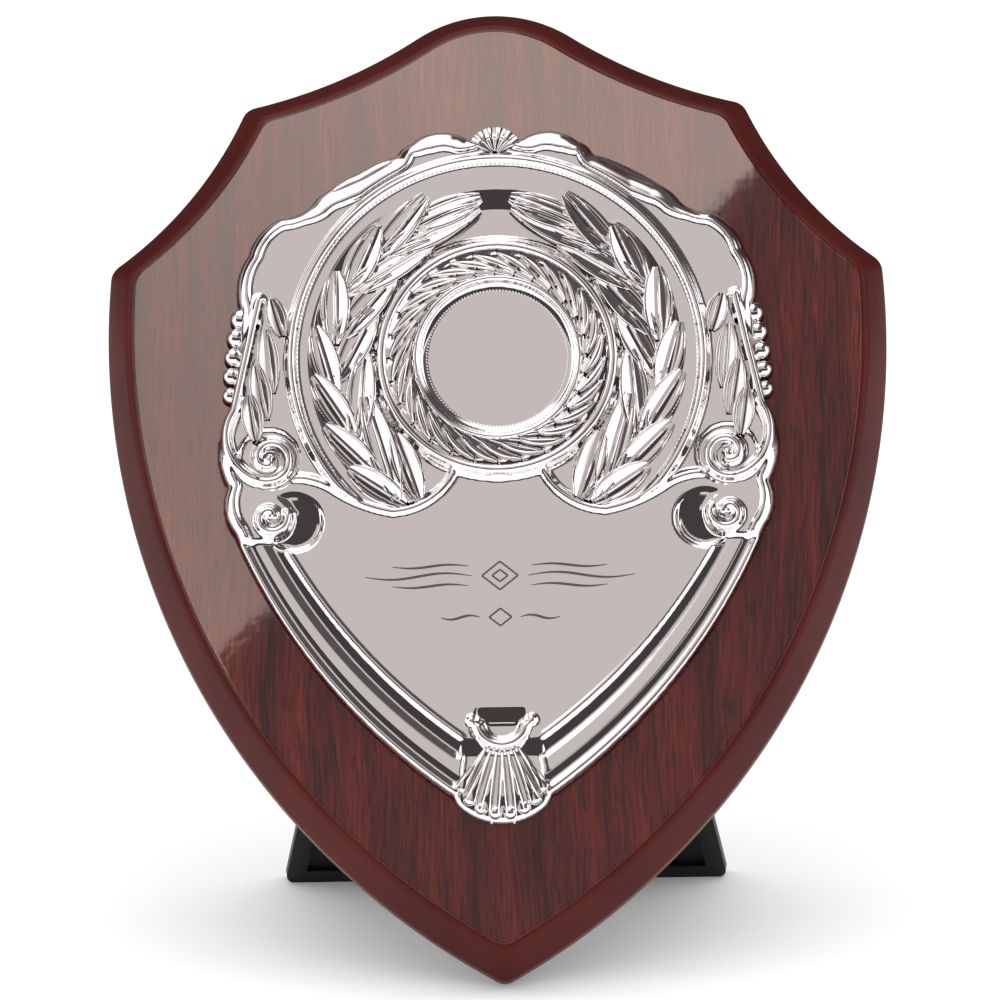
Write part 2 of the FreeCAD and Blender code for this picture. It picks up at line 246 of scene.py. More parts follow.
# Edge section from the back face round to the lip of the front, as (inset, y)
EDGE_SECTION = [(0.4, 0.0), (0.12, -0.1), (0.0, -0.4), (0.0, -EDGE_WALL + 0.25), (0.06, -EDGE_WALL)]
EDGE_SECTION += [(0.2, -EDGE_WALL - 0.3), (1.6, -5.45), (3.0, -7.85), (3.22, -8.2), (3.5, -8.52)]
EDGE_SECTION += [(3.82, -8.76), (4.15, -8.91), (4.5, -8.985)]
POCKET_Z = 107.0
POCKET_R = 5.5
POCKET_RISE = 9.0
POCKET_DEEP = 4.0


def pocket_ring():
    """Outline of the screw-head pocket behind the keyhole."""
    low = [math.pi + math.pi * i / 16 for i in range(17)]
    high = [math.pi * i / 16 for i in range(17)]
    points = ellipse((0, POCKET_Z), (POCKET_R, POCKET_R), low)
    return points + ellipse((0, POCKET_Z + POCKET_RISE), (POCKET_R, POCKET_R), high)


size = len(shield_ring(0))
points = [(x, y, z) for inset, y in EDGE_SECTION for x, z in shield_ring(inset)]
faces = rings_to_faces(len(EDGE_SECTION), size)
pocket = pocket_ring()
start = len(points)
points += [(x, y, z) for y in (0.0, -POCKET_DEEP) for x, z in pocket]
faces += [tuple(start + i for i in face) for face in rings_to_faces(2, len(pocket))]
faces.append(tuple(range(start + len(pocket), start + 2 * len(pocket))))
loops = [[Vector((x, z, 0)) for x, z in loop] for loop in (shield_ring(EDGE_SECTION[0][0]), pocket)]
numbers = list(range(size)) + list(range(start, start + len(pocket)))
faces += [tuple(numbers[i] for i in face) for face in tessellate_polygon(loops)]
faces.append(tuple(range(size * (len(EDGE_SECTION) - 1), size * len(EDGE_SECTION))))
board = add_piece("shield_board_core", points, faces)
outward_faces(board)
for face in board.data.polygons:
    if len(face.vertices) != 4:
        face.use_smooth = False
board.data.materials.append(edge_lacquer)
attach(board, BODY)
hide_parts("shield_board")


# ------------------------------------------------- face foil
# The front's printed sheet: mahogany figure with upright fibres, pressed onto the flat of the board and
# flow-coated in clear gloss, so that it mirrors the room over the print.
FIBRE_WIDE = 0.5           # mm across a fibre streak
FIBRE_LONG = 11.0          # mm along it
BAND_WIDE = 6.5            # mm across a band of darker wood
BAND_LONG = 80.0
PORE_WIDE = 0.45
PORE_LONG = 5.5
SWAY = 0.006               # m that a fibre wanders sideways

grain_foil, tree, shader, place = start_material("printed_mahogany_foil_under_gloss", {
    "Roughness": 0.5, "Specular IOR Level": 0.0, "Coat Weight": 1.0, "Coat Roughness": 0.035})
lean = math.atan2(outward.z, -outward.y)
flat = add(tree, "ShaderNodeMapping", {"Vector": place, "Rotation": (lean, 0, 0)}).outputs["Vector"]
sway = add(tree, "ShaderNodeMath", {0: noise(tree, flat, 22.0, 2.0), 1: SWAY}, operation="MULTIPLY")
sway = add(tree, "ShaderNodeCombineXYZ", {"X": sway.outputs[0]})
upright = add(tree, "ShaderNodeVectorMath", {0: flat, 1: sway.outputs[0]}, operation="ADD").outputs[0]


def streaks(wide, long, detail, seed):
    """Noise drawn out up the board, for streaks of one width and length in millimetres."""
    stretch = add(tree, "ShaderNodeMapping", {
        "Vector": upright, "Scale": (1000 / wide, 1, 1000 / long), "Location": (seed, seed, seed)})
    made = add(tree, "ShaderNodeTexNoise", {
        "Vector": stretch.outputs["Vector"], "Scale": 1.0, "Detail": detail, "Roughness": 0.6})
    return made.outputs["Fac"]


bands = streaks(BAND_WIDE, BAND_LONG, 3.0, 3.1)
fibres = streaks(FIBRE_WIDE, FIBRE_LONG, 4.0, 7.7)
pores = streaks(PORE_WIDE, PORE_LONG, 2.0, 12.3)
mixed = add(tree, "ShaderNodeMath", {0: bands, 1: 0.55}, operation="MULTIPLY")
mixed = add(tree, "ShaderNodeMath", {0: fibres, 1: 0.45, 2: mixed.outputs[0]}, operation="MULTIPLY_ADD")
FIGURE_STOPS = [(0.36, "220c0b"), (0.45, "391211"), (0.54, "4b1815"), (0.66, "60231d")]
figure = tinted(tree, mixed.outputs[0], FIGURE_STOPS)
specks = add(tree, "ShaderNodeMapRange", {"Value": pores, "From Min": 0.54, "From Max": 0.64})
faint = add(tree, "ShaderNodeMath", {0: specks.outputs["Result"], 1: 0.7}, operation="MULTIPLY")
pored = add(tree, "ShaderNodeMix", {
    "Factor": faint.outputs[0], 6: figure, 7: linear("1f0e0d")}, data_type="RGBA")
tree.links.new(pored.outputs[2], shader.inputs["Base Color"])
lift = add(tree, "ShaderNodeMath", {
    0: noise(tree, place, 60.0, 1.0), 1: 6.0, 2: noise(tree, place, 1000 / LACQUER_RIPPLE, 1.0)},
    operation="MULTIPLY_ADD")
bumped(tree, lift.outputs[0], 0.14, 0.00003, [shader.inputs["Coat Normal"]])

FOIL_SECTION = [(4.5, -CORE_THICK), (4.5, -8.985), (4.9, FACE_Y), (5.4, FACE_Y)]
points = [(x, y, z) for inset, y in FOIL_SECTION for x, z in shield_ring(inset)]
faces = rings_to_faces(len(FOIL_SECTION), size)
faces.append(tuple(range(size)))
faces.append(tuple(range(size * (len(FOIL_SECTION) - 1), size * len(FOIL_SECTION))))
foil = add_piece("face_foil_sheet", points, faces)
outward_faces(foil)
foil.data.materials.append(grain_foil)
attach(foil, BODY)
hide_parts("face_foil")


# ---------------------------------------------- chrome front
# One hollow injection moulding in ABS, electroplated with bright chrome. The plain fields are flat, and
# everything else is relief about 2 mm high: rings, sweeping borders, scrolls. It is drawn as one height
# field about the wreath's middle (u across, w up, height off the board's face, all in millimetres).
GRID = 0.31                # spacing of the height field
PLAIN = 3.0                # height of the flat fields
DISH = 2.5                 # height of the laurel's ground
FRONT_TOP = 42.7
# Right half of the outline, as arcs: (point on the arc, end)
FRONT_ARCS = [
    ((2.6, 42.2), (4.5, 40.9)), ((9.6, 42.5), (15.0, 40.4)), ((16.6, 39.5), (17.5, 38.2)),
    ((24.2, 35.4), (29.2, 32.4)), ((31.3, 31.0), (33.0, 29.1)), ((35.2, 27.6), (38.2, 27.0)),
    ((42.0, 24.3), (44.3, 20.0)), ((46.2, 15.6), (46.0, 10.0)), ((46.7, 1.5), (47.6, -7.8)),
    ((50.0, -14.4), (48.5, -22.6)), ((49.0, -27.2), (47.2, -31.5)),
    ((32.8, -56.7), (9.2, -79.7)), ((5.4, -83.2), (0.0, -84.6)),
]


def arc_through(start, via, end, step):
    """Points of the arc from start through via to end, about step apart, without its last point."""
    ax, ay = start
    bx, by = via
    cx, cy = end
    d = 2 * (ax * (by - cy) + bx * (cy - ay) + cx * (ay - by))
    sa, sb, sc = ax * ax + ay * ay, bx * bx + by * by, cx * cx + cy * cy
    centre = ((sa * (by - cy) + sb * (cy - ay) + sc * (ay - by)) / d,
              (sa * (cx - bx) + sb * (ax - cx) + sc * (bx - ax)) / d)
    radius = math.dist(centre, start)
    a0, av, a1 = (math.atan2(p[1] - centre[1], p[0] - centre[0]) for p in (start, via, end))
    turn = (a1 - a0) % (2 * math.pi)
    if (av - a0) % (2 * math.pi) > turn:
        turn -= 2 * math.pi
    count = max(4, int(abs(turn) * radius / step))
    angles = [a0 + turn * i / count for i in range(count)]
    return ellipse(centre, (radius, radius), angles)


def arcs_line(start, arcs, step=0.12):
    """Closely spaced points along a chain of arcs."""
    line = []
    for via, end in arcs:
        line += arc_through(start, via, end, step)
        start = end
    return line + [start]


def mirrored(line):
    return [(-u, w) for u, w in line]


half_edge = arcs_line((0.0, FRONT_TOP), FRONT_ARCS)
front_edge = np.array(half_edge + mirrored(half_edge[1:-1])[::-1])
us = np.arange(-51.0, 51.0, GRID)
ws = np.arange(-85.8, 43.8, GRID)
U, W = np.meshgrid(us, ws)


def nearest(line, reach):
    """Distance of every grid point from a line, up to reach, and how far along the line it lies, 0 to 1."""
    gap = np.full(U.shape, float(reach))
    along = np.zeros(U.shape)
    for k, (u, w) in enumerate(line):
        i0, i1 = np.searchsorted(us, (u - reach, u + reach))
        j0, j1 = np.searchsorted(ws, (w - reach, w + reach))
        near = np.hypot(U[j0:j1, i0:i1] - u, W[j0:j1, i0:i1] - w)
        closer = near < gap[j0:j1, i0:i1]
        gap[j0:j1, i0:i1][closer] = near[closer]
        along[j0:j1, i0:i1][closer] = k / len(line)
    return gap, along


def inside(loop, u, w):
    """True where a point lies inside a closed loop."""
    found = np.zeros(u.shape, bool)
    x0, y0 = loop[-1]
    for x1, y1 in loop:
        if y0 != y1:
            crosses = (y0 > w) != (y1 > w)
            found ^= crosses & (u < (x1 - x0) * (w - y0) / (y1 - y0) + x0)
        x0, y0 = x1, y1
    return found


def ramp_up(value, run):
    """0 below zero, rising to 1 over a run."""
    return np.clip(value / run, 0, 1)


def bead(gap, half_wide, rise):
    """Height of a round ridge at a distance from its middle line."""
    return rise * np.sqrt(np.clip(1 - (gap / half_wide) ** 2, 0, None))


def raised(height, gap, half_wide, foot, rise):
    """The relief with a round ridge added on its foot, wherever the gap is under its half width."""
    return np.where(gap < half_wide, np.maximum(height, foot + bead(gap, half_wide, rise)), height)


def spiral(centre, start_r, end_r, start_angle, turns, step=0.12):
    """A scroll's line, from outside in; angles in degrees, turns positive anticlockwise."""
    count = int(abs(turns) * 2 * math.pi * (start_r + end_r) / 2 / step)
    line = []
    for i in range(count + 1):
        t = i / count
        radius = start_r + (end_r - start_r) * t
        angle = math.radians(start_angle) + turns * 2 * math.pi * t
        line.append((centre[0] + radius * math.cos(angle), centre[1] + radius * math.sin(angle)))
    return line


# The rings, from the centre seat out to the frame ring: (radius, height)
RING_SECTION = [
    (0.0, PLAIN), (12.55, PLAIN), (13.75, 3.48), (13.95, 4.0), (14.25, 4.6), (14.6, 4.8), (14.95, 4.6),
    (15.2, 4.2), (15.5, 3.5), (18.5, 3.4), (19.55, 3.85), (19.75, 4.3), (20.1, 4.8), (20.6, 4.95),
    (21.1, 4.8), (21.5, 4.3), (21.75, 3.6), (22.0, 2.9), (22.5, DISH), (30.6, DISH), (31.6, 2.7),
    (32.6, 3.08), (33.3, 3.45), (33.5, 3.5), (35.6, 3.5), (35.9, 4.0), (36.2, 4.45), (36.7, 4.7),
    (37.2, 4.4), (37.5, 3.8), (37.75, PLAIN),
]
# Border of the engraving field, from the frame ring in to the middle
FIELD_ARCS = [((24.4, -26.2), (19.0, -27.8)), ((12.0, -25.4), (7.7, -20.2)), ((4.0, -21.2), (0.0, -21.6))]
# The lower border from the outer edge in to the engraving field: (distance in, height)
SWEEP_SECTION = [
    (0.0, 0.2), (0.12, 1.3), (0.4, 2.0), (0.8, 2.5), (1.2, 2.62), (1.6, 2.5), (1.9, 2.2), (2.1, 1.95),
    (2.2, 1.95), (3.5, 2.42), (3.7, 2.46), (5.1, 2.46), (5.3, 2.44), (6.3, 2.3), (6.45, 2.25), (6.6, 2.1),
    (6.75, 1.85), (6.9, 1.85), (9.2, 2.72), (9.35, 3.05), (9.6, 3.35), (9.9, 3.25), (10.15, PLAIN),
]
# The upper border: a rolled rim
RIM_SECTION = [
    (0.0, 0.2), (0.15, 1.6), (0.5, 2.35), (1.0, 3.0), (1.6, 3.5), (2.05, 3.75), (2.3, 3.65), (2.45, 3.3),
    (2.6, PLAIN),
]

# middles of the right half's scrolls
UPPER_SCROLL = (40.7, -17.9)
LOWER_SCROLL = (40.6, -28.6)

radius = np.hypot(U, W)
edge_gap, _ = nearest(front_edge[::2], 11.5)
field_line = arcs_line((29.8, -23.2), FIELD_ARCS)
field_u = np.array([p[0] for p in field_line][::-1])
field_w = np.array([p[1] for p in field_line][::-1])
field_top = np.where(np.abs(U) > 29.8, -60.0, np.interp(np.abs(U), field_u, field_w))
height = np.full(U.shape, PLAIN)
ringed = (radius < 37.8) & (W > field_top)
height[ringed] = np.interp(radius, *zip(*RING_SECTION))[ringed]
# at the top, between the branches' tips, the dish's ground rises in a cove
cove = np.interp(radius, [26.3, 27.2, 30.8, 31.6, 32.6, 33.3], [0, 0.05, 0.72, 0.68, 0.3, 0])
height = np.where(ringed, height + cove * ramp_up(W - 20, 6), height)
# how much the rolled rim broadens into lobes on its way round the top: (u, times as broad)
RIM_LOBES = [
    (0, 1.0), (4.5, 1.0), (7, 1.5), (11, 1.6), (14.5, 1.1), (17, 1.5), (24, 2.0), (30, 1.5), (34, 1.0),
]
broad = np.interp(np.abs(U), *zip(*RIM_LOBES))
broad = np.where(W > 20, broad, 1.0)
rim = np.interp(edge_gap / broad, *zip(*RIM_SECTION))
near_rim = edge_gap / broad < RIM_SECTION[-1][0]
height[near_rim] = np.where(ringed, np.maximum(height, rim), rim)[near_rim]
# a ribbon hollow runs along the rim's longest lobe
for way in (1, -1):
    hollow = arcs_line((17.6 * way, 36.9), [((24.4 * way, 34.0), (29.6 * way, 30.9))])
    gap, along = nearest(hollow, 1.5)
    height = height - 0.55 * ramp_up(1.1 * np.sin(math.pi * np.clip(along, 0.02, 0.98)) - gap, 0.5)
swell = np.interp(W, [-74, -33], [1.04, 0.76])
sweep = np.interp(edge_gap / swell, *zip(*SWEEP_SECTION))
# the lower border's bands end beside the cup and the shell
end_u = 5.9 + 0.13 * np.clip(-66 - W, 0, 20)
share = ramp_up(np.abs(U) - end_u, 0.9) * ramp_up(-32.5 - W, 0.8)
share = share * (edge_gap / swell < SWEEP_SECTION[-1][0])
height = height + (sweep - height) * share

for way in (1, -1):
    def here(line):
        return line if way > 0 else mirrored(line)

    gap, _ = nearest(here(arcs_line((36.6, -21.4), [((33.4, -21.7), (29.8, -23.2))]) + field_line), 1.2)
    height = raised(height, gap, 0.75, PLAIN, 0.7)
    # upper scroll: about one turn, running up into the thin rib beside the bead column
    bowl = np.hypot(U - UPPER_SCROLL[0] * way, W - UPPER_SCROLL[1])
    height = np.where(bowl < 5.4, np.minimum(height, PLAIN - 0.5), height)
    scroll = spiral(UPPER_SCROLL, 4.3, 1.3, -75, -1.05)
    rib = arcs_line((42.3, 11.2), [((44.6, 1.0), (46.9, -9.0)), ((47.7, -17.0), (42.9, -21.8))])
    gap, _ = nearest(here(rib + scroll), 1.6)
    height = raised(height, gap, 1.1, PLAIN - 0.7, 2.1)
    height = raised(height, bowl, 1.0, PLAIN, 1.2)
    # lower scroll, with a crescent hollow on its inner side
    bowl = np.hypot(U - LOWER_SCROLL[0] * way, W - LOWER_SCROLL[1])
    crescent = ramp_up(5.5 - np.hypot(U - 36.5 * way, W + 29.4), 0.8) * ramp_up(bowl - 3.6, 0.5)
    height = height + (PLAIN - 0.3 - 0.17 * np.clip(-25.0 - W, 0, 10) - height) * crescent
    scroll = spiral((LOWER_SCROLL[0], LOWER_SCROLL[1] - 0.2), 3.1, 0.9, 170, 1.0)
    gap, _ = nearest(here(scroll), 1.4)
    height = np.maximum(height, np.where(gap < 1.3, PLAIN - 0.5 + bead(gap, 1.0, 1.9), 0))
    height = raised(height, bowl, 0.8, PLAIN, 0.9)

# the cup over the bottom shell, with a knob at each end
bowl = np.hypot(U, W + 66.4)
cup = (W < -66.0) & (bowl < 5.6)
height = np.where(cup, np.maximum(PLAIN - 0.9 + bead(np.abs(bowl - 4.3), 1.2, 1.9), 0), height)
for side in (-1, 1):
    knob = np.hypot(U - side * 5.3, W + 66.3)
    height = raised(height, knob, 1.0, PLAIN, 0.9)
shade = ramp_up(4.7 - np.abs(U), 0.5) * ramp_up(-63.6 - W, 0.3) * ramp_up(W + 67.0, 0.5)
height = height + (PLAIN - 0.2 * np.clip(-63.6 - W, 0, 4) - height) * shade
shell = ramp_up(end_u + 0.4 - np.abs(U), 0.5) * ramp_up(-69.5 - W, 3.0) * ~cup
shell_height = np.interp(edge_gap, [0, 0.15, 0.6, 1.5, 4.0], [0.2, 0.9, 1.3, 1.6, 1.9])
height = height + (shell_height - height) * shell

# plating rounds every crease a little
for _ in range(2):
    padded = np.pad(height, 1, mode="edge")
    cross = padded[:-2, 1:-1] + padded[2:, 1:-1] + padded[1:-1, :-2] + padded[1:-1, 2:]
    height = height * 0.5 + cross * 0.125

# Bright chrome over copper and nickel on ABS: a nearly perfect mirror, faintly warm
bright_chrome, tree, shader, place = start_material("bright_chrome_on_moulded_abs", {
    "Base Color": linear("f1eeee"), "Metallic": 1.0})
haze = add(tree, "ShaderNodeMapRange", {
    "Value": noise(tree, place, 35.0, 4.0), "To Min": 0.02, "To Max": 0.05})
tree.links.new(haze.outputs["Result"], shader.inputs["Roughness"])
sink_marks = noise(tree, place, 90.0, 1.0)
bumped(tree, sink_marks, 0.1, 0.0001, [shader.inputs["Normal"]])

cell_inside = inside(front_edge[::4], U[:-1, :-1] + GRID / 2, W[:-1, :-1] + GRID / 2)
number = np.full(U.shape, -1)
used = np.zeros(U.shape, bool)
for dj in (0, 1):
    for di in (0, 1):
        used[dj:U.shape[0] - 1 + dj, di:U.shape[1] - 1 + di] |= cell_inside
number[used] = np.arange(used.sum())
spots = np.stack([U[used], FACE_Y - height[used], SEAT_Z + W[used]], axis=1)
jj, ii = np.nonzero(cell_inside)
quads = np.stack([number[jj, ii], number[jj, ii + 1], number[jj + 1, ii + 1], number[jj + 1, ii]], axis=1)
# the ragged outer points move onto the true outline, and a wall goes down from them to the board
pairs = {}
for quad in quads.tolist():
    for a, b in zip(quad, quad[1:] + quad[:1]):
        if (b, a) in pairs:
            del pairs[b, a]
        else:
            pairs[a, b] = True
rim_points = sorted({a for a, _ in pairs} | {b for _, b in pairs})
for i in rim_points:
    offset = front_edge - (spots[i, 0], spots[i, 2] - SEAT_Z)
    closest = front_edge[np.argmin((offset ** 2).sum(axis=1))]
    spots[i] = (closest[0], FACE_Y - 0.5, SEAT_Z + closest[1])
base = {i: len(spots) + k for k, i in enumerate(rim_points)}
walls = [(b, a, base[a], base[b]) for a, b in pairs]
skirt = spots[rim_points] * (1, 0, 1) + (0, FACE_Y, 0)
front = add_piece("chrome_front_shell", np.vstack([spots, skirt]).tolist(), quads.tolist() + walls)
front.data.materials.append(bright_chrome)
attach(front, BODY)
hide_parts("chrome_front")


# ------------------------------------------- laurel branches
# Two branches of bay leaves, part of the same plated moulding and standing on the dish's ground. Each
# leaf has a round rim, a midrib and one facet lifted, so that it mirrors light on one side.
# Below, (u, w, height) is flat on the ground; TO_BOARD stands it on the upright board.
TO_BOARD = Matrix(((1, 0, 0, 0), (0, 0, -1, FACE_Y), (0, 1, 0, SEAT_Z), (0, 0, 0, 1)))
FLIP = Matrix.Diagonal((-1, 1, 1, 1))
LEAF_LONG = 12.0
# leaves of the left branch, each from base to tip, from the sheaf at the bottom to the branch's end
LAUREL_IN = [
    ((-14.2, -25.6), (-18.4, -14.0)), ((-18.0, -25.8), (-23.5, -7.0)), ((-25.2, -15.0), (-23.6, 1.0)),
    ((-28.4, -3.5), (-21.7, 9.1)), ((-28.3, 3.9), (-18.2, 15.2)), ((-26.6, 12.3), (-11.4, 21.2)),
    ((-19.6, 19.6), (-2.9, 27.6)),
]
LAUREL_OUT = [
    ((-16.6, -26.6), (-26.6, -20.2)), ((-21.0, -21.8), (-30.8, -12.3)), ((-25.4, -14.3), (-32.8, -3.0)),
    ((-28.8, -6.5), (-32.4, 6.0)), ((-28.9, 3.0), (-28.6, 16.2)), ((-26.4, 12.4), (-21.0, 24.0)),
    ((-22.4, 17.6), (-12.4, 29.9)), ((-15.6, 24.4), (-2.6, 29.4)),
]


def shape_mesh(name, stations, section):
    """A small relief shape along +X: section(t) gives (y, z) pairs across it at t of its length."""
    points = []
    for t in stations:
        points += [(t, y, z) for y, z in section(t)]
    across = len(section(stations[0]))
    faces = [
        (r * across + i, (r + 1) * across + i, (r + 1) * across + i + 1, r * across + i + 1)
        for r in range(len(stations) - 1) for i in range(across - 1)
    ]
    mesh = bpy.data.meshes.new(name)
    mesh.from_pydata(points, [], faces)
    mesh.polygons.foreach_set("use_smooth", [True] * len(mesh.polygons))
    return put(name, mesh)


def even(long, count):
    """Evenly spaced stations along a shape."""
    return [long * i / (count - 1) for i in range(count)]


def leaf_half(t, half_wide):
    """Half a leaf's width at t of its length, pointed at both ends."""
    return half_wide * math.sin(math.pi * min(t * 0.86 + 0.07, 1)) ** 0.7 + 0.02


def leaf_section(long, half_wide, lift, climb, tilt, lean=0.0):
    """Across a leaf: a round rim, a flat facet, a midrib, and a facet that rises to the other edge."""
    def section(x):
        t = min(max(x / long, 0.0), 1.0)
        half = leaf_half(t, half_wide)
        base = lift + climb * t
        keel = base + 0.5 * lean * half
        edge = base - 0.1 + 0.65 * tilt * half
        profile = [(1.0, -1.2)]
        profile += ellipse((0.76, base), (0.24, 0.5), np.linspace(0, math.pi, 9))
        profile += [(0.5, base), (0.18, keel - 0.03), (0.15, keel)]
        profile += ellipse((0.03, keel), (0.1, 0.3), np.linspace(0.1, 3.0, 6))
        profile += [(-0.09, base - 0.1), (-0.13, base - 0.1 + 0.04 * tilt * half)]
        profile += [(-0.7, edge - 0.05 * tilt * half), (-0.74, edge)]
        profile += ellipse((-0.87, edge), (0.13, 0.28), np.linspace(0.2, math.pi, 7))
        profile += [(-1.0, -1.2)]
        return [(half * y, z) for y, z in profile]
    return section


def start_tree(name, sockets):
    """A geometry-nodes tree that takes a line and the named inputs and gives relief; and its inputs."""
    tree = bpy.data.node_groups.new(name, "GeometryNodeTree")
    for label, kind in [("Line", "Geometry"), ("Shape", "Object")] + sockets + [("Finish", "Material")]:
        tree.interface.new_socket(label, in_out="INPUT", socket_type="NodeSocket" + kind)
    tree.interface.new_socket("Relief", in_out="OUTPUT", socket_type="NodeSocketGeometry")
    return tree, add(tree, "NodeGroupInput").outputs


def end_tree(tree, placed, finish):
    """Make the placed copies real, give them their finish and hand them out."""
    real = add(tree, "GeometryNodeRealizeInstances", {"Geometry": placed.outputs[0]})
    done = add(tree, "GeometryNodeSetMaterial", {"Geometry": real.outputs[0], "Material": finish})
    add(tree, "NodeGroupOutput", {"Relief": done.outputs[0]})


def one_per_line_tree():
    """Geometry nodes that lay one shape along each separate line, from its start to its end."""
    tree, into = start_tree("lay_on_each_line", [("Shape length", "Float"), ("Width", "Float")])
    curve = add(tree, "GeometryNodeMeshToCurve", {"Mesh": into["Line"]})
    tangent = add(tree, "GeometryNodeInputTangent").outputs[0]
    turn = add(tree, "FunctionNodeAlignRotationToVector", {"Vector": tangent}, axis="X", pivot_axis="Z")
    start = add(tree, "GeometryNodeCurveEndpointSelection", {"Start Size": 1, "End Size": 0})
    long = add(tree, "GeometryNodeSplineLength").outputs["Length"]
    share = add(tree, "ShaderNodeMath", {0: long, 1: into["Shape length"]}, operation="DIVIDE")
    scale = add(tree, "ShaderNodeCombineXYZ", {"X": share.outputs[0], "Y": into["Width"], "Z": 1.0})
    info = add(tree, "GeometryNodeObjectInfo", {"Object": into["Shape"]})
    placed = add(tree, "GeometryNodeInstanceOnPoints", {
        "Points": curve.outputs[0], "Selection": start.outputs[0], "Instance": info.outputs["Geometry"],
        "Rotation": turn.outputs[0], "Scale": scale.outputs[0]})
    end_tree(tree, placed, into["Finish"])
    return tree


def grown(points, links, tree, values):
    """The mesh that a tree of geometry nodes makes of a guide line; the guide is removed."""
    mesh = bpy.data.meshes.new("guide")
    mesh.from_pydata(points, links, [])
    guide = put("guide", mesh)
    modifier = guide.modifiers.new("grow", "NODES")
    modifier.node_group = tree
    for item in tree.interface.items_tree:
        if item.name in values:
            modifier[item.identifier] = values[item.name]
    bpy.context.view_layer.update()
    seen = guide.evaluated_get(bpy.context.evaluated_depsgraph_get())
    result = bpy.data.meshes.new_from_object(seen)
    bpy.data.objects.remove(guide)
    return result


ONE_PER_LINE = one_per_line_tree()


def lay_on(lines, lift, shape, long, width=1.0):
    """One shape per (start, end) pair at one height; returns their mesh, still flat on the ground."""
    ends = [(u, w, lift) for pair in lines for u, w in pair]
    links = [(i, i + 1) for i in range(0, len(ends), 2)]
    values = {"Shape": shape, "Shape length": long, "Width": width, "Finish": bright_chrome}
    return grown(ends, links, ONE_PER_LINE, values)


def join_relief(name, parts, both_sides=False, crease=20):
    """One chrome piece from flat meshes, doubled across the middle where asked, set on the front."""
    edit = bmesh.new()
    for part in parts:
        edit.from_mesh(part)
    if both_sides:
        whole = edit.faces[:] + edit.edges[:] + edit.verts[:]
        twin = bmesh.ops.duplicate(edit, geom=whole)["geom"]
        bmesh.ops.transform(edit, matrix=FLIP, verts=[v for v in twin if isinstance(v, bmesh.types.BMVert)])
        bmesh.ops.reverse_faces(edit, faces=[f for f in twin if isinstance(f, bmesh.types.BMFace)])
    mesh = bpy.data.meshes.new(name)
    edit.to_mesh(mesh)
    edit.free()
    mesh.transform(LEANING @ TO_BOARD)
    mesh.polygons.foreach_set("use_smooth", [True] * len(mesh.polygons))
    mesh.set_sharp_from_angle(angle=math.radians(crease))
    mesh.materials.clear()
    mesh.materials.append(bright_chrome)
    piece = put(name, mesh)
    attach(piece, BODY)


upper_leaf = shape_mesh("upper_leaf", even(LEAF_LONG, 15), leaf_section(LEAF_LONG, 2.8, 0.6, 0.7, 0.55, 0.2))
lower_leaf = shape_mesh("lower_leaf", even(LEAF_LONG, 15), leaf_section(LEAF_LONG, 2.7, 0.5, 1.1, 0.6, 0.14))
parts = [
    lay_on(LAUREL_OUT[:4], DISH, lower_leaf, LEAF_LONG, 0.95),
    lay_on(LAUREL_OUT[4:], DISH + 0.1, upper_leaf, LEAF_LONG, 0.95),
    lay_on(LAUREL_IN[:4], DISH + 0.1, lower_leaf, LEAF_LONG),
    lay_on(LAUREL_IN[4:], DISH + 0.3, upper_leaf, LEAF_LONG),
]
join_relief("laurel_branches", parts, both_sides=True)
for shape in (upper_leaf, lower_leaf):
    bpy.data.objects.remove(shape)


# --------------------------------------------- wreath leaves
# The ring of overlapping blades between the centre seat and the wreath's rim, one after another all the
# way round like a rope. Each has a broad rolled edge, which catches the light, and a thin one.
WREATH_R = 18.9
WREATH_COUNT = 28
WREATH_SPLAY = -36         # degrees that each blade turns off the ring
BLADE_LONG = 8.0


def follow_path_tree():
    """Geometry nodes that set a shape out along a line, turned to it, and sized from first to last."""
    sockets = [("Count", "Int"), ("Splay", "Float"), ("First size", "Float"), ("Last size", "Float")]
    tree, into = start_tree("set_out_along_line", sockets)
    curve = add(tree, "GeometryNodeMeshToCurve", {"Mesh": into["Line"]})
    spread = add(tree, "GeometryNodeCurveToPoints", {"Curve": curve.outputs[0], "Count": into["Count"]})
    turn = add(tree, "FunctionNodeAlignRotationToVector", {"Vector": spread.outputs["Tangent"]},
               axis="X", pivot_axis="Z")
    fan = add(tree, "ShaderNodeCombineXYZ", {"Z": into["Splay"]})
    fan = add(tree, "FunctionNodeEulerToRotation", {"Euler": fan.outputs[0]})
    turned = add(tree, "FunctionNodeRotateRotation", {
        "Rotation": turn.outputs[0], "Rotate By": fan.outputs[0]}, rotation_space="LOCAL")
    last = add(tree, "ShaderNodeMath", {0: into["Count"], 1: 1.0}, operation="SUBTRACT")
    index = add(tree, "GeometryNodeInputIndex").outputs[0]
    share = add(tree, "ShaderNodeMath", {0: index, 1: last.outputs[0]}, operation="DIVIDE")
    scale = add(tree, "ShaderNodeMapRange", {
        "Value": share.outputs[0], "To Min": into["First size"], "To Max": into["Last size"]})
    info = add(tree, "GeometryNodeObjectInfo", {"Object": into["Shape"]})
    placed = add(tree, "GeometryNodeInstanceOnPoints", {
        "Points": spread.outputs["Points"], "Instance": info.outputs["Geometry"],
        "Rotation": turned.outputs[0], "Scale": scale.outputs["Result"]})
    end_tree(tree, placed, into["Finish"])
    return tree


FOLLOW_PATH = follow_path_tree()


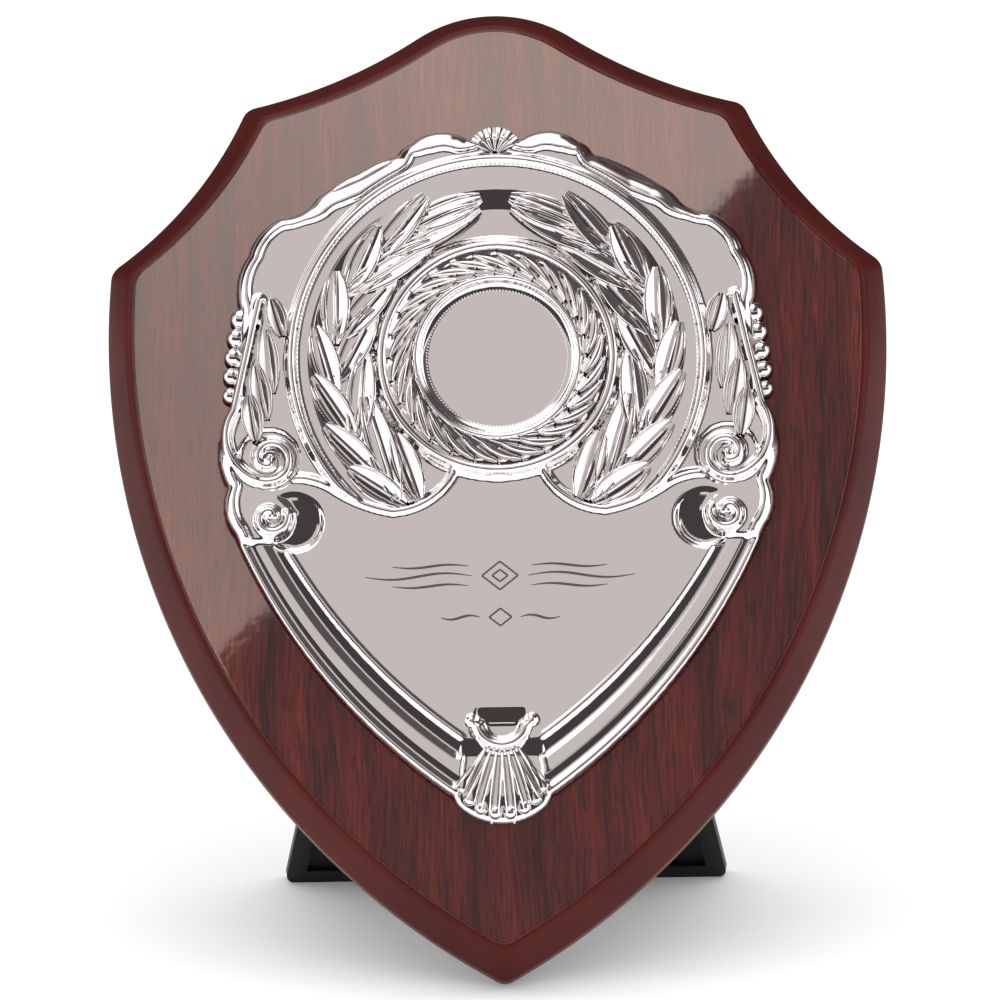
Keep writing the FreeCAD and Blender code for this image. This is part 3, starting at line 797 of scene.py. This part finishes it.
def set_out(line, lift, shape, count, splay=0.0, first=1.0, last=1.0, closed=False):
    """Copies of a shape along a line of (u, w) at one height; returns their mesh, flat on the ground."""
    links = [(i, i + 1) for i in range(len(line) - 1)]
    if closed:
        links.append((len(line) - 1, 0))
    values = {"Shape": shape, "Count": count, "Splay": math.radians(splay), "First size": first,
              "Last size": last, "Finish": bright_chrome}
    return grown([(u, w, lift) for u, w in line], links, FOLLOW_PATH, values)


def ring_line(radius, angles):
    """Points on a circle about the wreath's middle."""
    return ellipse((0, 0), (radius, radius), angles)


def blade_section(x):
    """Across a wreath leaf: a broad rolled edge falling to a thin one."""
    t = min(max(x / BLADE_LONG, 0.0), 1.0)
    half = leaf_half(t, 1.55)
    base = 0.3 + 0.9 * t
    profile = [(1.0, -1.2)]
    profile += ellipse((0.5, base), (0.5, 0.8), np.linspace(0, 2.9, 11))
    profile += [(-0.1, base - 0.05), (-0.5, base - 0.1)]
    profile += ellipse((-0.78, base - 0.1), (0.2, 0.4), np.linspace(math.pi * 0.05, 3.0, 7))
    profile += [(-1.0, -1.2)]
    return [(half * y, z) for y, z in profile]


blade = shape_mesh("blade", even(BLADE_LONG, 12), blade_section)
ring = ring_line(WREATH_R, np.linspace(0, -2 * math.pi, 240, False))
join_relief("wreath_leaves", [set_out(ring, 3.2, blade, WREATH_COUNT, WREATH_SPLAY, closed=True)])
bpy.data.objects.remove(blade)


# ----------------------------------------------- pearl lines
# Lines of tiny pearls that edge the centre seat, the wreath and the frame ring; the outermost stops where
# the engraving field begins. In the mould each pearl is one touch of a ball cutter.
PEARL_RINGS = [(12.6, 0.2, 2.98), (22.15, 0.32, 2.55), (35.75, 0.28, 3.65)]     # (radius, pearl, height)
PEARL_PITCH = 2.9          # times a pearl's radius
OPEN_SHARE = 0.7           # how much of the outermost circle is there


def dome(x, count):
    """Across a ball of radius 1 that runs from x = -1 to 1, its upper half only."""
    r = math.sqrt(max(1 - x * x, 0))
    return ellipse((0, 0), (r, r), np.linspace(0, math.pi, count))


def ball_shape(name, stations, count):
    """Half a ball, lying on its flat side."""
    along = [-math.cos(a) for a in np.linspace(0, math.pi, stations)]
    return shape_mesh(name, along, lambda x: dome(x, count))


pearl = ball_shape("pearl", 6, 7)
parts = []
for pearl_r, pearl_size, lift in PEARL_RINGS:
    ring = ring_line(pearl_r, np.linspace(0, 2 * math.pi, 300, False))
    whole = pearl_r < 30
    if not whole:
        ring = [p for p in ring if p[1] > -20.5]
        ring = sorted(ring, key=lambda p: -math.atan2(p[0], p[1]))
    count = int(2 * math.pi * pearl_r * (1 if whole else OPEN_SHARE) / (pearl_size * PEARL_PITCH))
    parts.append(set_out(ring, lift, pearl, count, 0, pearl_size, pearl_size, whole))
join_relief("pearl_lines", parts, crease=60)
bpy.data.objects.remove(pearl)


# -------------------------------------- husk drops and beads
# Down each side hangs a drop of four husks, one out of another, and outside it a column of five beads
# that get smaller downwards, bulging past the moulding's edge.
HUSKS = [((38.1, 4.6), (40.0, 11.2)), ((40.1, -5.9), (41.2, 5.6)), ((41.2, -10.8), (42.9, -1.0)),
         ((43.0, -14.6), (44.2, -6.4))]
HUSK_LONG = 6.0

ball = ball_shape("ball", 13, 15)
husk = shape_mesh("husk", even(HUSK_LONG, 9), leaf_section(HUSK_LONG, 2.0, 0.5, 0.8, 0.45, 0.25))
column = arcs_line((45.5, 8.2), [((46.9, 1.2), (47.5, -5.7))], 0.5)
parts = [
    set_out(column, 1.1, ball, 5, 0, 2.0, 1.5),
    lay_on(HUSKS, PLAIN - 0.1, husk, HUSK_LONG),
]
join_relief("husk_drops_and_beads", parts, both_sides=True, crease=30)
bpy.data.objects.remove(husk)


# ------------------------------------------------ fan shells
# The scallop at the bottom, whose ribs spread from the cup to a knobbly round edge, and the small fan on
# the crown of the rim. Both are part of the moulding.
RIB_LONG = 11.0
RIB_FROM = (0, -66.5)      # where the scallop's ribs spread from
SCALLOP = (0, -75.1)       # middle of its round lower edge
RIB_START_R = 5.6
RIB_END_R = 8.1


def rib_section(x):
    """Across a rib of the bottom shell, widening from the cup to the lower edge."""
    half = 0.4 + 0.085 * x
    rise = 0.35 + 1.5 * math.sin(math.pi * min(max(x / RIB_LONG, 0.1), 0.9)) ** 0.5
    return ellipse((0, -0.1), (half, rise), np.linspace(0, math.pi, 9))


def petal_section(x):
    """Across a fan's petal of length 1, widening to its round end."""
    half = 0.07 + (0.26 - 0.07) * x
    rise = 0.08 + 0.9 * half * math.sin(math.pi * min(max(x, 0.12), 0.94)) ** 0.6
    return ellipse((0, -0.04), (half, rise), np.linspace(0, math.pi, 9))


def fan_line(centre, radius, first, last):
    """Points on an arc between two angles in degrees."""
    angles = np.radians(np.linspace(first, last, 24))
    return ellipse(centre, (radius, radius), angles)


rib = shape_mesh("rib", even(RIB_LONG, 12), rib_section)
petal = shape_mesh("petal", even(1.0, 10), petal_section)
drop = RIB_FROM[1] - SCALLOP[1]
ribs = []
for degrees in (-32, -22, -11, 0, 11, 22, 32):
    across = math.sin(math.radians(degrees))
    down = math.cos(math.radians(degrees))
    reach = drop * down + math.sqrt(RIB_END_R ** 2 - (drop * across) ** 2)
    ribs.append([(r * across, RIB_FROM[1] - r * down) for r in (RIB_START_R, reach)])
parts = [
    lay_on(ribs, 1.7, rib, RIB_LONG),
    set_out(fan_line(SCALLOP, 7.7, 338, 202), 1.3, ball, 8, 0, 1.3, 1.3),
    set_out(fan_line((0, 37.6), 0.6, 150, 30), 2.9, petal, 6, 90, 4.3, 4.3),
]
join_relief("fan_shells", parts, crease=45)
for shape in (rib, ball):
    bpy.data.objects.remove(shape)


# ------------------------------------------------- side fans
# A small fan of four petals on each side, between the two scrolls, with its petals pointing outwards.
parts = [set_out(fan_line((44.4, -26.0), 0.5, 45, -65), 2.4, petal, 4, 90, 3.1, 3.1)]
join_relief("side_fans", parts, both_sides=True, crease=45)
bpy.data.objects.remove(petal)


# ----------------------------------------- engraved ornament
# A plain engraver's ornament on the lower field: tapering strokes either side of a lozenge, cut with a
# diamond through the chrome into the nickel, so the lines are dull and dark. No lettering.
cut_line, tree, shader, place = start_material("diamond_cut_line", {
    "Base Color": linear("7d7472"), "Metallic": 1.0, "Roughness": 0.55})
bumped(tree, noise(tree, place, 3000.0, 2.0), 0.6, 0.00005, [shader.inputs["Normal"]])


def stroke(points, faces, line, widths):
    """One cut line, as a narrow strip with a width for each of its points."""
    for k, (u, w) in enumerate(line):
        ahead = line[min(k + 1, len(line) - 1)]
        back = line[max(k - 1, 0)]
        run = math.dist(ahead, back)
        across = ((back[1] - ahead[1]) / run, (ahead[0] - back[0]) / run)
        for side in (-0.5, 0.5):
            reach = side * widths[k]
            points.append((u + across[0] * reach, FACE_Y - PLAIN - 0.02, SEAT_Z + w + across[1] * reach))
        if k:
            n = len(points)
            faces.append((n - 4, n - 2, n - 1, n - 3))


points, faces = [], []
for way in (-1, 1):
    for start, long, w, swell in ((5.0, 19.0, -39.8, 0.9), (5.6, 13.5, -41.6, 0.5), (5.6, 13.5, -38.0, 0.5),
                                  (3.6, 7.0, -47.4, 0.6)):
        steps = [t / 16 for t in range(17)]
        line = [(way * (start + long * t), w + 0.6 * swell * math.sin(2 * math.pi * t)) for t in steps]
        stroke(points, faces, line, [0.12 + 0.34 * math.sin(math.pi * t) for t in steps])
for w, high, wide in ((-39.8, 2.6, 3.2), (-39.8, 1.1, 1.4), (-47.4, 1.6, 2.0)):
    corners = [(0, w + high), (wide, w), (0, w - high), (-wide, w)]
    for a, b in zip(corners, corners[1:] + corners[:1]):
        stroke(points, faces, [a, b], [0.32, 0.32])
ornament = add_piece("engraved_ornament", points, faces, smooth=False)
ornament.data.materials.append(cut_line)
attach(ornament, BODY)


# ------------------------------------------------- back foil
# The backing sheet: plain melamine paper pressed on the back to keep the board flat, dark brown.
backing, tree, shader, place = start_material("melamine_backing_paper", {"Roughness": 0.6})
tint = tinted(tree, noise(tree, place, 30.0, 3.0), [(0.3, "3a2a22"), (0.7, "46342a")])
tree.links.new(tint, shader.inputs["Base Color"])
bumped(tree, noise(tree, place, 2200.0, 2.0), 0.4, 0.00005, [shader.inputs["Normal"]])


def finish_node(node, material):
    """Give a node that keeps its own mesh its real material."""
    frame["nodes"][node].data.materials.clear()
    frame["nodes"][node].data.materials.append(material)


finish_node("back_foil", backing)


# ------------------------------------------------- tape pads
# Four die-cut pads of white foam tape that hold the moulding to the board. They are out of sight.
foam, tree, shader, place = start_material("white_polyethylene_foam_tape", {
    "Base Color": linear("dcdcd6"), "Roughness": 0.85})
cells = add(tree, "ShaderNodeTexVoronoi", {"Vector": place, "Scale": 2500.0}).outputs["Distance"]
bumped(tree, cells, 0.5, 0.0002, [shader.inputs["Normal"]])
finish_node("tape_pads", foam)


# ------------------------------------- strut plate and strut
# Two black polypropylene mouldings with a fine spark-eroded texture: the plate is screwed to the board
# and the strut swings on it. Their edges are as the mould leaves them, barely rounded.
SPARK_PITS = 0.35          # mm between the texture's pits
LEG_EDGE = 0.3             # mm of rounding
PLATE_EDGE = 0.25

black_plastic, tree, shader, place = start_material("black_polypropylene_fine_texture", {
    "Roughness": 0.5, "Specular IOR Level": 0.35})
tint = tinted(tree, noise(tree, place, 70.0, 3.0), [(0.3, "0c0b0a"), (0.7, "131110")])
tree.links.new(tint, shader.inputs["Base Color"])
bumped(tree, noise(tree, place, 1000 / SPARK_PITS, 2.0), 0.35, 0.00003, [shader.inputs["Normal"]])


def softened(node, name, edge, material, body):
    """A copy of a CAD node with its sharp edges rounded as a mould or tool leaves them."""
    mesh = frame["nodes"][node].data.copy()
    edit = bmesh.new()
    edit.from_mesh(mesh)
    bmesh.ops.remove_doubles(edit, verts=edit.verts, dist=1e-6)
    bmesh.ops.dissolve_limit(edit, angle_limit=math.radians(1), verts=edit.verts, edges=edit.edges)
    edit.to_mesh(mesh)
    edit.free()
    mesh.polygons.foreach_set("use_smooth", [True] * len(mesh.polygons))
    piece = put(name, mesh)
    rounding = piece.modifiers.new("rounding", "BEVEL")
    rounding.width = edge / 1000
    rounding.segments = 2
    rounding.angle_limit = math.radians(35)
    rounding.harden_normals = True
    mesh.materials.clear()
    mesh.materials.append(material)
    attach(piece, body)
    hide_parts(node)
    return piece


softened("strut_leg", "strut_leg_moulding", LEG_EDGE, black_plastic, "strut")
softened("strut_plate", "strut_plate_moulding", PLATE_EDGE, black_plastic, BODY)


# ---------------------------------------------- plate screws
# Four countersunk wood screws with a cross recess, zinc-plated in a barrel, which leaves the plating with
# a fine, cloudy sheen. They hold the plate to the board.
zinc, tree, shader, place = start_material("zinc_plated_steel", {
    "Base Color": linear("b9b4a8"), "Metallic": 1.0})
frost = add(tree, "ShaderNodeMapRange", {
    "Value": noise(tree, place, 900.0, 4.0), "To Min": 0.22, "To Max": 0.42})
tree.links.new(frost.outputs["Result"], shader.inputs["Roughness"])
finish_node("plate_screws", zinc)


# ------------------------------------------------- hinge pin
# A length of steel wire, plated like the screws and pressed through the plate's two ears; the strut's
# barrel turns on it.
finish_node("hinge_pin", zinc)


# ---------------------------------------- floor, light, view
# A pale table top that runs on to a white ground, in a studio built for chrome: white all round, dark
# where the camera stands, and grey above it, which is what the flat fields mirror.
bpy.ops.mesh.primitive_plane_add(size=6.0, location=(0, 0, 0))
floor = bpy.context.object
floor.name = "floor"
table = start_material("pale_table", {"Base Color": linear("f7f7f7"), "Roughness": 0.7})[0]
floor.data.materials.append(table)

world = bpy.data.worlds.new("studio")
bpy.context.scene.world = world
world.use_nodes = True
tree = world.node_tree
tree.nodes.clear()
direction = add(tree, "ShaderNodeTexCoord").outputs["Generated"]
axes = add(tree, "ShaderNodeSeparateXYZ", {"Vector": direction}).outputs


def band(value, low, high, soft):
    """1 where a value lies between low and high, 0 outside, with soft edges."""
    rise = add(tree, "ShaderNodeMapRange", {"Value": value, "From Min": low - soft, "From Max": low + soft},
               interpolation_type="SMOOTHSTEP")
    fall = add(tree, "ShaderNodeMapRange", {"Value": value, "From Min": high - soft, "From Max": high + soft,
                                            "To Min": 1.0, "To Max": 0.0}, interpolation_type="SMOOTHSTEP")
    both = add(tree, "ShaderNodeMath", {0: rise.outputs["Result"], 1: fall.outputs["Result"]},
               operation="MULTIPLY")
    return both.outputs[0]


def painted(below, value, *masks):
    """A brightness painted over what is there, where all the masks are 1."""
    mask = masks[0]
    for other in masks[1:]:
        mask = add(tree, "ShaderNodeMath", {0: mask, 1: other}, operation="MULTIPLY").outputs[0]
    return add(tree, "ShaderNodeMix", {0: mask, 2: below, 3: value}, data_type="FLOAT").outputs[0]


x, y, z = (axes[axis] for axis in "XYZ")
in_front = band(y, -2.0, -0.05, 0.1)
light = painted(1.6, 0.055, in_front, band(z, -0.16, 0.46, 0.03), band(x, -0.82, 0.82, 0.04))
light = painted(light, 0.62, in_front, band(z, 0.46, 0.87, 0.03), band(x, -0.75, 0.5, 0.05))
light = painted(light, 0.1, band(z, 0.5, 0.95, 0.03), band(x, 0.14, 0.75, 0.04))
light = painted(light, 0.05, band(y, 0.12, 2.0, 0.06), band(z, -1.1, 0.75, 0.05))
path = add(tree, "ShaderNodeLightPath").outputs
light = painted(light, 1.4, path["Is Diffuse Ray"])
light = painted(light, 1.0, path["Is Camera Ray"])
# the dark and grey parts of the studio are a little warm, the white ones are not
whiteness = add(tree, "ShaderNodeMapRange", {"Value": light, "From Min": 0.8, "From Max": 1.3})
cast = add(tree, "ShaderNodeMix", {
    "Factor": whiteness.outputs["Result"], 6: (1.0, 0.915, 0.9, 1), 7: (1, 1, 1, 1)}, data_type="RGBA")
glow = add(tree, "ShaderNodeBackground", {"Color": cast.outputs[2], "Strength": light})
add(tree, "ShaderNodeOutputWorld", {"Surface": glow.outputs[0]})

# A softbox whose reflection lies over the upper left of the gloss board; it lights the board only.
BOX_LONG = 0.5
BOX_HIGH = 0.3
BOX_AWAY = 0.5
MIRROR_ANGLE = math.radians(44.5)    # elevation of what the leaning board mirrors to the camera
EDGE_TILT = math.radians(40.8)       # the softbox's lower edge, as mirrored on the board
EDGE_Z = 112.8                       # where that edge crosses the board's middle line
softbox = bpy.data.lights.new("softbox", "AREA")
softbox.shape = "RECTANGLE"
softbox.size = BOX_LONG
softbox.size_y = BOX_HIGH
softbox.energy = 5.0 * math.pi * BOX_LONG * BOX_HIGH
box_lamp = put("softbox", softbox)
box_lamp.visible_diffuse = False
mirror = Vector((0, -math.cos(MIRROR_ANGLE), math.sin(MIRROR_ANGLE)))
half_box = 1000 * BOX_HIGH / 2
edge_x = -half_box * math.sin(EDGE_TILT)
edge_z = EDGE_Z + half_box * math.cos(EDGE_TILT)
box_lamp.location = LEANING @ Vector((edge_x, FACE_Y, edge_z)) + mirror * BOX_AWAY
turned = (-mirror).to_track_quat("-Z", "Y").to_matrix() @ Matrix.Rotation(EDGE_TILT, 3, "Z")
box_lamp.rotation_euler = turned.to_euler()
softbox.use_nodes = True
tree = softbox.node_tree
tree.nodes.clear()
spread = add(tree, "ShaderNodeNewGeometry").outputs["Parametric"]
across = add(tree, "ShaderNodeSeparateXYZ", {"Vector": spread})
fade = add(tree, "ShaderNodeMapRange", {"Value": across.outputs["X"], "From Min": 0.38, "From Max": 0.56,
                                        "To Min": 0.8, "To Max": 1.3})
warm = add(tree, "ShaderNodeEmission", {"Color": linear("ffe9dd"), "Strength": fade.outputs["Result"]})
add(tree, "ShaderNodeOutputLight", {"Surface": warm.outputs[0]})
gloss_only = bpy.data.collections.new("lit_by_softbox")
for piece in (board, foil):
    gloss_only.objects.link(piece)
box_lamp.light_linking.receiver_collection = gloss_only

# Long lens, a little above the board's middle and looking down on it, a touch to the right
ELEVATION = math.radians(15.5)
TURN = math.radians(0.4)
ROLL = math.radians(-0.9)
DISTANCE = 5.0
VIEW_WIDE = 1 / 5.63       # m across the picture at the board
camera_data = bpy.data.cameras.new("camera")
camera_data.sensor_width = 36
camera_data.lens = camera_data.sensor_width * DISTANCE / VIEW_WIDE
camera_data.clip_end = 50
camera = put("camera", camera_data)
aim = LEANING @ Vector((0.15, FACE_Y, 86.8))
level = math.cos(ELEVATION)
towards = Vector((math.sin(TURN) * level, -math.cos(TURN) * level, math.sin(ELEVATION)))
camera.location = aim + towards * DISTANCE
look = (-towards).to_track_quat("-Z", "Y").to_matrix() @ Matrix.Rotation(ROLL, 3, "Z")
camera.rotation_euler = look.to_euler()
bpy.context.scene.camera = camera
bpy.context.scene.view_settings.view_transform = "Standard"
